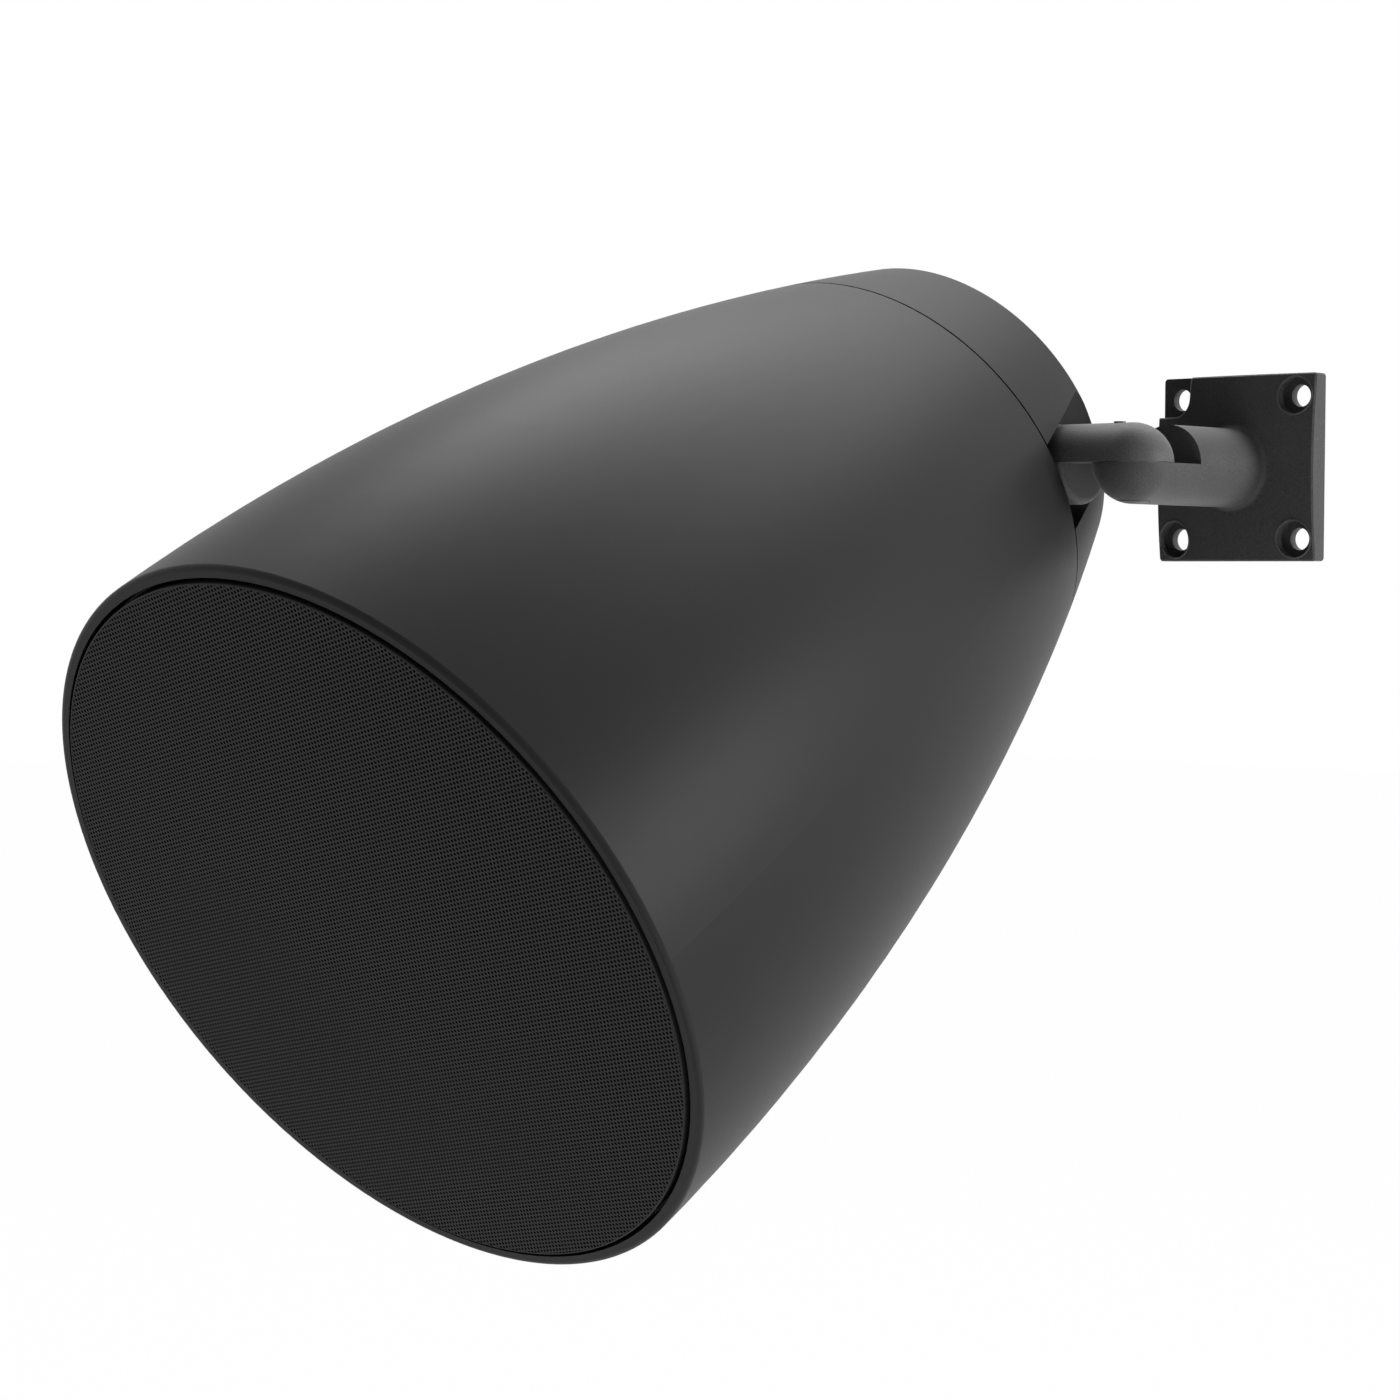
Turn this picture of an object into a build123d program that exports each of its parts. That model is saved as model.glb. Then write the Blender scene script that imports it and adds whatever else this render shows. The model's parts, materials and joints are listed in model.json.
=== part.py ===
"""Bullet-shaped surface-mount speaker on a two-joint wall bracket, in millimetres.

The origin is the middle of the bracket's back face. The wall is the plane Y = 0, the
speaker stands out along -Y, and +Z is up. The arm pans about a vertical axis, and the
head tilts about the arm's own axis, which runs into a pocket in the side of its rear cap.
"""
import os
from math import cos, radians, sin, sqrt

from build123d import *

# Head: a parabola of revolution, cut off flat at the rear
FRONT_RADIUS = 115.5
REAR_RADIUS = 60.1
HEAD_LENGTH = 292.7
REAR_EDGE_FILLET = 2.5
RIM_WIDTH = 3.5
RIM_FILLET = 1.5
SHELL_WALL = 3.7
CAP_WALL = 4.5

# Seam between the shell and the rear cap
SEAM_DEPTH = 253.0
SEAM_WIDTH = 0.8
SEAM_GROOVE_DEPTH = 2.6
WEB_THICKNESS = 5.0
WEB_OPENING_RADIUS = 36.0
CAP_FLANGE_RADIUS = 47.0
CAP_FLANGE_THICKNESS = 3.0
CAP_GASKET_RADIUS = 52.0
CAP_GASKET_WIDTH = 3.0
CAP_GASKET_THICKNESS = 1.0

# Where the head hangs, and its tilt at rest
HEAD_OFFSET = 90.0
TILT_AXIS_DEPTH = 268.3
REST_TILT = 30.0

# Wall plate
PLATE_SIZE = 59.0
PLATE_CENTRE_THICKNESS = 9.0
PLATE_CROWN_RADIUS = 235.0
PLATE_CORNER_RADIUS = 1.2
PLATE_EDGE_CHAMFER = 0.5
BOLT_SPACING = 45.0
BOLT_HOLE_RADIUS = 3.5
COUNTERBORE_RADIUS = 6.0
COUNTERBORE_FLOOR = 3.0

# Stem, arm and their half-lap joint: the pan and tilt axes cross in its middle
ARM_RADIUS = 12.5
AXIS_DISTANCE = 61.0
LAP_CUT_BACK = 18.2
LAP_GAP = 0.2
STEM_FILLET = 1.8
ARM_SHOULDER_FILLET = 2.5
ARM_FACE_FILLET = 2.2
PAN_BOLT_RADIUS = 2.5
PAN_BOLT_HEAD_RADIUS = 5.0
PAN_BOLT_HEAD_HEIGHT = 4.0
PAN_BOLT_REACH = 8.0
PAN_SEAT_DEPTH = 5.0
PAN_WASHER_THICKNESS = 1.0
PAN_FRICTION_RADIUS = 9.5
PAN_FRICTION_RECESS = 1.0
LOCK_SCREW_RADIUS = 1.8
LOCK_SCREW_OFFSET = 5.2
LOCK_SCREW_LENGTH = 12.6

# Pocket in the rear cap and the shaft that turns in its wall
POCKET_HALF_WIDTH = 14.8
POCKET_FLOOR = 59.3
POCKET_SIDE_WALL = 4.0
POCKET_FLOOR_WALL = 6.0
TILT_SHAFT_RADIUS = 7.0
TILT_WASHER_RADIUS = 12.0
TILT_FRICTION_THICKNESS = 1.2
TILT_SPRING_THICKNESS = 1.4
TILT_NUT_ACROSS_FLATS = 20.0
TILT_NUT_HEIGHT = 7.0

# Clearances
RUNNING_GAP = 0.05
SLIDE_GAP = 0.1
SEAT_GAP = 0.3

# Grille
GRILLE_GAP = 0.6
GRILLE_PROUD = 0.8
GRILLE_SHEET = 1.0
GRILLE_BEND_RADIUS = 1.6
GRILLE_SKIRT_DEPTH = 8.0
CLOTH_THICKNESS = 0.6

# Baffle and its seat in the shell
BAFFLE_DEPTH = 18.0
BAFFLE_THICKNESS = 7.0
BAFFLE_RIM_WIDTH = 3.4
BAFFLE_GASKET_THICKNESS = 1.5
LEDGE_WIDTH = 14.2
LEDGE_THICKNESS = 7.5
BAFFLE_SCREW_CIRCLE = 103.3

# Driver
CUTOUT_RADIUS = 90.0
DRIVER_RADIUS = 99.0
DRIVER_GASKET_THICKNESS = 1.0
FLANGE_THICKNESS = 3.0
DRIVER_SCREW_CIRCLE = 95.0
FRAME_SHEET = 2.0
SPIDER_SEAT_DEPTH = 31.0
SPIDER_SEAT_RADIUS = 60.0
FRAME_BACK_DEPTH = 45.0
TOP_PLATE_RADIUS = 47.0
TOP_PLATE_THICKNESS = 6.0
MAGNET_RADIUS = 50.0
MAGNET_THICKNESS = 16.0
YOKE_THICKNESS = 6.0
POLE_RADIUS = 18.2
COIL_RADIUS = 18.8
COIL_LENGTH = 12.0
FORMER_LENGTH = 28.0
CONE_RADIUS = 80.0
CONE_EDGE_WIDTH = 5.0
SURROUND_ROLL_RADIUS = 4.7
SURROUND_THICKNESS = 0.8
SPIDER_WAVES = 4
POST_RADIUS = 4.0
TWEETER_RADIUS = 16.0
TWEETER_DEPTH = 12.0

# Circuit board and its parts
BOARD_LENGTH = 112.0
BOARD_WIDTH = 78.0
BOARD_THICKNESS = 1.6
STANDOFF_HEIGHT = 6.0
STANDOFF_RADIUS = 3.5
BOARD_HOLE_INSET = 5.5
LINING_THICKNESS = 14.0
LINING_FRONT = 60.0
LINING_BACK = 196.0

# Screws
SMALL_SCREW_RADIUS = 1.9
SMALL_HEAD_RADIUS = 3.0
SMALL_HEAD_HEIGHT = 2.0
SMALL_SCREW_LENGTH = 12.0
CAP_SCREW_CIRCLE = 44.0
CAP_SCREW_RADIUS = 2.0
CAP_SCREW_HEAD_RADIUS = 3.8
CAP_SCREW_HEAD_HEIGHT = 3.6
CAP_COUNTERBORE_DEPTH = 5.0
CAP_BOSS_RADIUS = 6.0
CAP_BOSS_HEIGHT = 4.5
GROMMET_OFFSET = 28.0
GROMMET_HOLE_RADIUS = 7.0
GROMMET_FLANGE = 2.4
GROMMET_FLANGE_DEPTH = 1.6

# Places that follow from the sizes
SHELL_BACK = SEAM_DEPTH - SEAM_WIDTH / 2
CAP_FRONT = SEAM_DEPTH + SEAM_WIDTH / 2
RIM_INNER = FRONT_RADIUS - RIM_WIDTH
GRILLE_RADIUS = RIM_INNER - GRILLE_GAP
POCKET_FACE = POCKET_FLOOR - HEAD_OFFSET
BAFFLE_BACK = BAFFLE_DEPTH + BAFFLE_THICKNESS
LEDGE_DEPTH = BAFFLE_BACK + BAFFLE_GASKET_THICKNESS
FLANGE_DEPTH = BAFFLE_DEPTH - DRIVER_GASKET_THICKNESS
FLANGE_FACE = FLANGE_DEPTH - FLANGE_THICKNESS
SPIDER_SEAT = FLANGE_DEPTH + SPIDER_SEAT_DEPTH
MAGNET_TOP = FLANGE_DEPTH + FRAME_BACK_DEPTH + TOP_PLATE_THICKNESS
MAGNET_BACK = MAGNET_TOP + MAGNET_THICKNESS
YOKE_BACK = MAGNET_BACK + YOKE_THICKNESS
WEB_FRONT = SHELL_BACK - WEB_THICKNESS
BOARD_BACK = WEB_FRONT - STANDOFF_HEIGHT
BOARD_FACE = BOARD_BACK - BOARD_THICKNESS

# The head's own frame: its front rim lies in z = 0, and z points forward along its axis
tilt = radians(REST_TILT)
front_centre = (
    -HEAD_OFFSET,
    -AXIS_DISTANCE - TILT_AXIS_DEPTH * cos(tilt),
    -TILT_AXIS_DEPTH * sin(tilt),
)
HEAD = Plane(origin=front_centre, x_dir=(1, 0, 0), z_dir=(0, -cos(tilt), -sin(tilt)))

# The bracket's own frame: z points away from the wall and y points up
WALL = Plane(origin=(0, 0, 0), x_dir=(1, 0, 0), z_dir=(0, -1, 0))


def save(name, shape):
    """Write one piece, already in its place on the wall."""
    export_step(shape, f"parts/{name}.step")


def save_in_head(name, shape):
    """Write one piece that is modelled in the head's own frame."""
    save(name, HEAD.location * shape)


def body_radius(depth):
    """Outer radius of the head at a distance behind its front rim."""
    return FRONT_RADIUS - (FRONT_RADIUS - REAR_RADIUS) * (depth / HEAD_LENGTH) ** 2


def body_curve(start, end, inset=0):
    """The head's parabola between two depths, as one exact quadratic curve."""
    slope = -2 * (FRONT_RADIUS - REAR_RADIUS) * start / HEAD_LENGTH**2
    first = (body_radius(start) - inset, -start)
    middle = (first[0] + slope * (end - start) / 2, -(start + end) / 2)
    last = (body_radius(end) - inset, -end)
    return Bezier(first, middle, last)


def turned(*outline):
    """Solid of revolution about z from the edges of a closed (radius, height) outline."""
    return revolve(Plane.XZ * make_face(Curve() + list(outline)), axis=Axis.Z)


def ring(inner, outer, bottom, top):
    """Plain washer or disc between two heights."""
    points = [(inner, bottom), (outer, bottom), (outer, top), (inner, top)]
    return turned(Polyline(*points, close=True))


def rod(radius, bottom, top, x=0.0, y=0.0):
    """Round bar parallel to z."""
    body = Cylinder(radius, top - bottom, align=(Align.CENTER, Align.CENTER, Align.MIN))
    return Pos(x, y, bottom) * body


def pan_head_screw(shank, head, head_height, length):
    """Screw that hangs down from the underside of its head at z = 0."""
    screw = rod(shank, -length, 0) + rod(head, 0, head_height)
    socket = extrude(RegularPolygon(shank * 0.85, 6), head_height * 0.6)
    screw -= Pos(0, 0, head_height * 0.4) * socket
    top_edge = screw.edges().filter_by(GeomType.CIRCLE).sort_by(SortBy.RADIUS)
    return fillet(top_edge.group_by(Axis.Z)[-1], head_height * 0.25)


def around(circle, count, shape, start=0.0):
    """Copies of a shape, spread evenly on a circle about z."""
    return [place * shape for place in PolarLocations(circle, count, start_angle=start)]


def x_rod(radius, start, end, y=0.0, z=0.0):
    """Round bar parallel to x."""
    return Pos(start, y, z) * Rot(0, 90, 0) * rod(radius, 0, end - start)


def make_cabinet_shell():
    """Bullet-shaped housing, with the baffle's ledge in front and a web at the seam."""
    ledge_radius = RIM_INNER - LEDGE_WIDTH
    ledge_back = LEDGE_DEPTH + LEDGE_THICKNESS
    slope_back = ledge_back + LEDGE_WIDTH
    wall_at_slope = (body_radius(slope_back) - SHELL_WALL, -slope_back)
    wall_at_web = (body_radius(WEB_FRONT) - SHELL_WALL, -WEB_FRONT)
    shell = turned(
        body_curve(0, SHELL_BACK),
        Polyline(
            (body_radius(SHELL_BACK), -SHELL_BACK),
            (WEB_OPENING_RADIUS, -SHELL_BACK),
            (WEB_OPENING_RADIUS, -WEB_FRONT),
            wall_at_web,
        ),
        body_curve(slope_back, WEB_FRONT, SHELL_WALL),
        Polyline(
            wall_at_slope,
            (ledge_radius, -ledge_back),
            (ledge_radius, -LEDGE_DEPTH),
            (RIM_INNER, -LEDGE_DEPTH),
            (RIM_INNER, 0),
            (FRONT_RADIUS, 0),
        ),
    )
    rim = shell.edges().filter_by(GeomType.CIRCLE).group_by(Axis.Z)[-1]
    shell = fillet(rim.sort_by(SortBy.RADIUS)[-1], RIM_FILLET)
    boss = rod(CAP_BOSS_RADIUS, -SHELL_BACK, -WEB_FRONT + CAP_BOSS_HEIGHT)
    bore_top = -WEB_FRONT + CAP_BOSS_HEIGHT - 1
    bore = rod(CAP_SCREW_RADIUS + RUNNING_GAP, -SHELL_BACK - 1, bore_top)
    shell += around(CAP_SCREW_CIRCLE, 4, boss, 45)
    shell -= around(CAP_SCREW_CIRCLE, 4, bore, 45)
    standoff = rod(STANDOFF_RADIUS, -WEB_FRONT - 1, -BOARD_BACK)
    pilot = rod(SMALL_SCREW_RADIUS + RUNNING_GAP, -WEB_FRONT - 2, -BOARD_BACK + 1)
    shell += [place * standoff for place in board_corners()]
    shell -= [place * pilot for place in board_corners()]
    screw_bore = rod(
        SMALL_SCREW_RADIUS + RUNNING_GAP, -BAFFLE_DEPTH - SMALL_SCREW_LENGTH - 1, 0
    )
    shell -= around(BAFFLE_SCREW_CIRCLE, 8, screw_bore, 22.5)
    return shell


def board_corners():
    """The four places where the circuit board is screwed down."""
    return GridLocations(
        BOARD_LENGTH - 2 * BOARD_HOLE_INSET, BOARD_WIDTH - 2 * BOARD_HOLE_INSET, 2, 2
    )


def make_rear_cap():
    """End of the bullet, with the arm's pocket walled off from its hollow."""
    groove_radius = body_radius(CAP_FRONT) - SEAM_GROOVE_DEPTH
    cap = turned(
        body_curve(CAP_FRONT, HEAD_LENGTH),
        Polyline(
            (REAR_RADIUS, -HEAD_LENGTH),
            (0, -HEAD_LENGTH),
            (0, -SHELL_BACK),
            (groove_radius, -SHELL_BACK),
            (groove_radius, -CAP_FRONT),
            (body_radius(CAP_FRONT), -CAP_FRONT),
        ),
    )
    rear_rim = cap.edges().filter_by(GeomType.CIRCLE).group_by(Axis.Z)[0]
    cap = fillet(rear_rim, REAR_EDGE_FILLET)

    hollow_front = SHELL_BACK + CAP_FLANGE_THICKNESS
    hollow_back = HEAD_LENGTH - CAP_WALL
    hollow = turned(
        body_curve(hollow_front, hollow_back, CAP_WALL),
        Polyline(
            (body_radius(hollow_back) - CAP_WALL, -hollow_back),
            (0, -hollow_back),
            (0, -hollow_front),
            (body_radius(hollow_front) - CAP_WALL, -hollow_front),
        ),
    )
    hollow += rod(CAP_FLANGE_RADIUS, -hollow_front, -SHELL_BACK)
    walls = pocket_block(
        POCKET_FLOOR - POCKET_FLOOR_WALL, POCKET_HALF_WIDTH + POCKET_SIDE_WALL
    )
    tube = rod(CAP_BOSS_RADIUS, -HEAD_LENGTH, -SHELL_BACK)
    hollow = hollow - walls - around(CAP_SCREW_CIRCLE, 4, tube, 45)

    cap = cap - hollow - pocket_block(POCKET_FLOOR, POCKET_HALF_WIDTH)
    cap -= x_rod(
        TILT_SHAFT_RADIUS + RUNNING_GAP, 0, POCKET_FLOOR + 1, z=-TILT_AXIS_DEPTH
    )
    cap -= ring(
        CAP_GASKET_RADIUS - CAP_GASKET_WIDTH / 2,
        CAP_GASKET_RADIUS + CAP_GASKET_WIDTH / 2,
        -SHELL_BACK - CAP_GASKET_THICKNESS,
        -SHELL_BACK,
    )
    bore = rod(CAP_SCREW_RADIUS + RUNNING_GAP, -HEAD_LENGTH - 1, 0)
    head_room = rod(
        CAP_SCREW_HEAD_RADIUS + SEAT_GAP, -HEAD_LENGTH - 1, -HEAD_LENGTH + CAP_COUNTERBORE_DEPTH
    )
    cap -= around(CAP_SCREW_CIRCLE, 4, bore + head_room, 45)
    cap -= rod(GROMMET_HOLE_RADIUS, -HEAD_LENGTH - 1, -hollow_back + 1, y=-GROMMET_OFFSET)
    cap -= rod(
        GROMMET_HOLE_RADIUS + GROMMET_FLANGE,
        -HEAD_LENGTH - 1,
        -HEAD_LENGTH + GROMMET_FLANGE_DEPTH,
        y=-GROMMET_OFFSET,
    )
    return cap


def pocket_block(floor, half_width):
    """Slot from the seam out through the rear, as deep as the given floor."""
    depth = HEAD_LENGTH - SHELL_BACK + 2
    block = Box(
        FRONT_RADIUS, 2 * half_width, depth, align=(Align.MIN, Align.CENTER, Align.MAX)
    )
    return Pos(floor, 0, -SHELL_BACK) * block


def y_rod(radius, start, end, x=0.0, z=0.0):
    """Round bar parallel to y."""
    return Pos(x, start, z) * Rot(-90, 0, 0) * rod(radius, 0, end - start)


def upper_space(height):
    """Everything above a level of the arm, as one block."""
    size = 20 * ARM_RADIUS
    return Pos(0, height, 0) * Box(
        size, size, size, align=(Align.CENTER, Align.MIN, Align.CENTER)
    )


def make_wall_bracket():
    """Square crowned plate with a round stem, cut to half its height at the joint."""
    plate = extrude(
        RectangleRounded(PLATE_SIZE, PLATE_SIZE, PLATE_CORNER_RADIUS), PLATE_CENTRE_THICKNESS
    )
    crown_centre = PLATE_CENTRE_THICKNESS - PLATE_CROWN_RADIUS
    plate &= Pos(0, 0, crown_centre) * Sphere(PLATE_CROWN_RADIUS)
    crown = plate.faces().sort_by(Axis.Z)[-1]
    plate = chamfer(crown.outer_wire().edges(), PLATE_EDGE_CHAMFER)
    bracket = plate + rod(ARM_RADIUS, 1, AXIS_DISTANCE)
    foot = bracket.edges().filter_by(
        lambda edge: edge.geom_type == GeomType.CIRCLE
        and abs(edge.radius - ARM_RADIUS) < 0.01
        and edge.center().Z < PLATE_CENTRE_THICKNESS + 1
    )
    bracket = fillet(foot, STEM_FILLET)

    bracket += Pos(0, 0, AXIS_DISTANCE) * Sphere(ARM_RADIUS)
    lap = Box(
        3 * ARM_RADIUS,
        2 * ARM_RADIUS,
        LAP_CUT_BACK + 2 * ARM_RADIUS,
        align=(Align.CENTER, Align.MIN, Align.MIN),
    )
    bracket -= Pos(0, 0, AXIS_DISTANCE - LAP_CUT_BACK) * lap
    bracket -= y_rod(
        PAN_FRICTION_RADIUS + SEAT_GAP, -PAN_FRICTION_RECESS, 1, z=AXIS_DISTANCE
    )
    bracket -= y_rod(PAN_BOLT_RADIUS + RUNNING_GAP, -ARM_RADIUS, 1, z=AXIS_DISTANCE)
    bracket -= y_rod(
        PAN_BOLT_HEAD_RADIUS + SEAT_GAP, -2 * ARM_RADIUS, -PAN_SEAT_DEPTH, z=AXIS_DISTANCE
    )

    hole = rod(BOLT_HOLE_RADIUS, -1, PLATE_CENTRE_THICKNESS)
    recess = rod(COUNTERBORE_RADIUS, COUNTERBORE_FLOOR, PLATE_CENTRE_THICKNESS)
    for place in GridLocations(BOLT_SPACING, BOLT_SPACING, 2, 2):
        bracket -= place * (hole + recess)
    return bracket - corner_relief()


def corner_relief():
    """The upper left counterbore, opened out to both edges of the plate."""
    inner = BOLT_SPACING / 2 - COUNTERBORE_RADIUS
    reach = PLATE_SIZE / 2 + 1 - inner
    outline = Pos(-inner - reach / 2, inner + reach / 2) * Rectangle(reach, reach)
    corner = outline.vertices().sort_by(Axis.X)[-2:].sort_by(Axis.Y)[0]
    outline = fillet(corner, COUNTERBORE_RADIUS)
    return Pos(0, 0, COUNTERBORE_FLOOR) * extrude(outline, PLATE_CENTRE_THICKNESS)


def make_swivel_arm():
    """Round bar on the tilt axis, cut to its upper half over the stem, with the tilt shaft."""
    shoulder = POCKET_FACE + SEAT_GAP
    bar = x_rod(ARM_RADIUS, shoulder, 0, z=AXIS_DISTANCE)
    bar = fillet(bar.edges().sort_by(Axis.X)[0], ARM_SHOULDER_FILLET)
    upper = (bar + Pos(0, 0, AXIS_DISTANCE) * Sphere(ARM_RADIUS)) & upper_space(LAP_GAP)
    lower = x_rod(ARM_RADIUS, shoulder, -LAP_CUT_BACK, z=AXIS_DISTANCE)
    lower = fillet(lower.edges().sort_by(Axis.X)[0], ARM_SHOULDER_FILLET)
    lower = fillet(lower.edges().sort_by(Axis.X)[-1], ARM_FACE_FILLET)
    arm = upper + (lower - upper_space(LAP_GAP))
    arm += x_rod(TILT_SHAFT_RADIUS, tilt_stack(3) - 1.5, shoulder + 1, z=AXIS_DISTANCE)
    arm -= y_rod(PAN_BOLT_RADIUS + RUNNING_GAP, -1, PAN_BOLT_REACH + 0.5, z=AXIS_DISTANCE)
    return arm - y_rod(
        LOCK_SCREW_RADIUS + RUNNING_GAP, -1, 2 * ARM_RADIUS, x=-LOCK_SCREW_OFFSET, z=AXIS_DISTANCE
    )


def tilt_stack(layer):
    """Where each piece on the tilt shaft starts, counted from the pocket's wall inward."""
    place = POCKET_FACE - POCKET_FLOOR_WALL - SLIDE_GAP
    for thickness in (TILT_FRICTION_THICKNESS, TILT_SPRING_THICKNESS, TILT_NUT_HEIGHT)[:layer]:
        place -= thickness
    return place


def shaft_ring(layer, radius):
    """Washer on the tilt shaft."""
    start, end = tilt_stack(layer + 1), tilt_stack(layer)
    washer = x_rod(radius, start, end, z=AXIS_DISTANCE)
    return washer - x_rod(TILT_SHAFT_RADIUS + RUNNING_GAP, start - 1, end + 1, z=AXIS_DISTANCE)


def make_tilt_nut():
    """Hexagon nut at the inner end of the tilt shaft."""
    start, end = tilt_stack(3), tilt_stack(2)
    outline = RegularPolygon(TILT_NUT_ACROSS_FLATS / 2, 6, major_radius=False)
    hexagon = extrude(outline, end - start)
    nut = hexagon - rod(TILT_SHAFT_RADIUS + RUNNING_GAP, -1, end - start + 1)
    return Pos(start, 0, AXIS_DISTANCE) * Rot(0, 90, 0) * nut


def make_pan_bolt():
    """Hexagon-socket bolt that comes up through the stem into the arm."""
    shoulder = -PAN_SEAT_DEPTH - PAN_WASHER_THICKNESS
    bolt = y_rod(PAN_BOLT_RADIUS, shoulder, PAN_BOLT_REACH, z=AXIS_DISTANCE)
    bolt += y_rod(
        PAN_BOLT_HEAD_RADIUS, shoulder - PAN_BOLT_HEAD_HEIGHT, shoulder, z=AXIS_DISTANCE
    )
    socket = extrude(RegularPolygon(PAN_BOLT_RADIUS * 0.9, 6), PAN_BOLT_HEAD_HEIGHT * 0.6)
    depth = shoulder - PAN_BOLT_HEAD_HEIGHT
    return bolt - Pos(0, depth, AXIS_DISTANCE) * Rot(-90, 0, 0) * socket


def pan_ring(radius, bottom, top):
    """Washer round the pan bolt."""
    washer = y_rod(radius, bottom, top, z=AXIS_DISTANCE)
    return washer - y_rod(
        PAN_BOLT_RADIUS + RUNNING_GAP, bottom - 1, top + 1, z=AXIS_DISTANCE
    )


def make_lock_screw():
    """Grub screw that is turned down through the arm onto the friction washer."""
    bottom = LAP_GAP + SLIDE_GAP
    top = bottom + LOCK_SCREW_LENGTH
    screw = y_rod(LOCK_SCREW_RADIUS, bottom, top, x=-LOCK_SCREW_OFFSET, z=AXIS_DISTANCE)
    socket = extrude(RegularPolygon(LOCK_SCREW_RADIUS * 0.6, 6), LOCK_SCREW_LENGTH)
    place = Pos(-LOCK_SCREW_OFFSET, top - LOCK_SCREW_LENGTH * 0.3, AXIS_DISTANCE)
    return screw - place * Rot(-90, 0, 0) * socket


def make_grille():
    """Flat steel pan with a rolled edge and a skirt that stands on the baffle's rim."""
    bend = GRILLE_RADIUS - GRILLE_BEND_RADIUS
    outer, inner = GRILLE_PROUD, GRILLE_PROUD - GRILLE_SHEET
    start = GRILLE_PROUD - GRILLE_BEND_RADIUS
    corner = sqrt(0.5)
    small = GRILLE_BEND_RADIUS - GRILLE_SHEET
    return turned(
        Polyline((0, inner), (0, outer), (bend, outer)),
        ThreePointArc(
            (bend, outer),
            (bend + GRILLE_BEND_RADIUS * corner, start + GRILLE_BEND_RADIUS * corner),
            (GRILLE_RADIUS, start),
        ),
        Polyline(
            (GRILLE_RADIUS, start),
            (GRILLE_RADIUS, -GRILLE_SKIRT_DEPTH),
            (GRILLE_RADIUS - GRILLE_SHEET, -GRILLE_SKIRT_DEPTH),
            (GRILLE_RADIUS - GRILLE_SHEET, start),
        ),
        ThreePointArc(
            (GRILLE_RADIUS - GRILLE_SHEET, start),
            (bend + small * corner, start + small * corner),
            (bend, inner),
        ),
        Line((bend, inner), (0, inner)),
    )


def make_front_baffle():
    """Moulded ring that carries the driver, with a raised rim for the grille."""
    outer = RIM_INNER - SEAT_GAP
    rim = outer - BAFFLE_RIM_WIDTH
    baffle = turned(
        Polyline(
            (CUTOUT_RADIUS, -BAFFLE_DEPTH),
            (rim, -BAFFLE_DEPTH),
            (rim, -GRILLE_SKIRT_DEPTH),
            (outer, -GRILLE_SKIRT_DEPTH),
            (outer, -BAFFLE_BACK),
            (CUTOUT_RADIUS, -BAFFLE_BACK),
            close=True,
        )
    )
    bore = rod(SMALL_SCREW_RADIUS + RUNNING_GAP, -BAFFLE_BACK - 1, 0)
    baffle -= around(BAFFLE_SCREW_CIRCLE, 8, bore, 22.5)
    baffle -= around(DRIVER_SCREW_CIRCLE, 8, bore)
    return baffle


def make_woofer_basket():
    """Pressed steel frame: flange, sloping arms, spider seat and magnet seat."""
    lip = CUTOUT_RADIUS - 1
    seat_inner = SPIDER_SEAT_RADIUS - 10
    back = FLANGE_DEPTH + FRAME_BACK_DEPTH
    slant = FRAME_SHEET * 0.6
    throat = COIL_RADIUS + 4
    back_radius = TOP_PLATE_RADIUS - 3
    basket = turned(
        Polyline(
            (DRIVER_RADIUS, -FLANGE_FACE),
            (lip, -FLANGE_FACE),
            (SPIDER_SEAT_RADIUS, -SPIDER_SEAT),
            (seat_inner, -SPIDER_SEAT),
            (back_radius, -back + FRAME_SHEET),
            (throat, -back + FRAME_SHEET),
            (throat, -back),
            (back_radius + slant, -back),
            (seat_inner + slant, -SPIDER_SEAT - FRAME_SHEET),
            (SPIDER_SEAT_RADIUS + slant, -SPIDER_SEAT - FRAME_SHEET),
            (lip - slant / 2, -FLANGE_DEPTH),
            (DRIVER_RADIUS, -FLANGE_DEPTH),
            close=True,
        )
    )
    window_top = -FLANGE_DEPTH - 6
    window = Box(
        2 * CUTOUT_RADIUS, SPIDER_SEAT_RADIUS * 0.7, SPIDER_SEAT_DEPTH - 12,
        align=(Align.MIN, Align.CENTER, Align.MAX),
    )
    basket -= around(0, 6, Pos(20, 0, window_top) * window, 15)
    bore = rod(SMALL_SCREW_RADIUS + RUNNING_GAP, -FLANGE_DEPTH - 1, 0)
    return basket - around(DRIVER_SCREW_CIRCLE, 8, bore)


def make_woofer_yoke():
    """Back plate and pole piece, bored for the tweeter's post."""
    yoke = ring(POST_RADIUS + RUNNING_GAP, TOP_PLATE_RADIUS, -YOKE_BACK, -MAGNET_BACK)
    pole_top = -MAGNET_TOP + TOP_PLATE_THICKNESS
    return yoke + ring(POST_RADIUS + RUNNING_GAP, POLE_RADIUS, -MAGNET_BACK, pole_top)


def make_voice_coil():
    """Paper former with the winding at its lower end, centred in the magnet gap."""
    middle = -MAGNET_TOP + TOP_PLATE_THICKNESS / 2
    bottom = middle - COIL_LENGTH / 2
    former = ring(COIL_RADIUS, COIL_RADIUS + 0.5, bottom - 1, bottom - 1 + FORMER_LENGTH)
    return former + ring(COIL_RADIUS + 0.4, COIL_RADIUS + 1.5, bottom, bottom + COIL_LENGTH)


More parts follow.
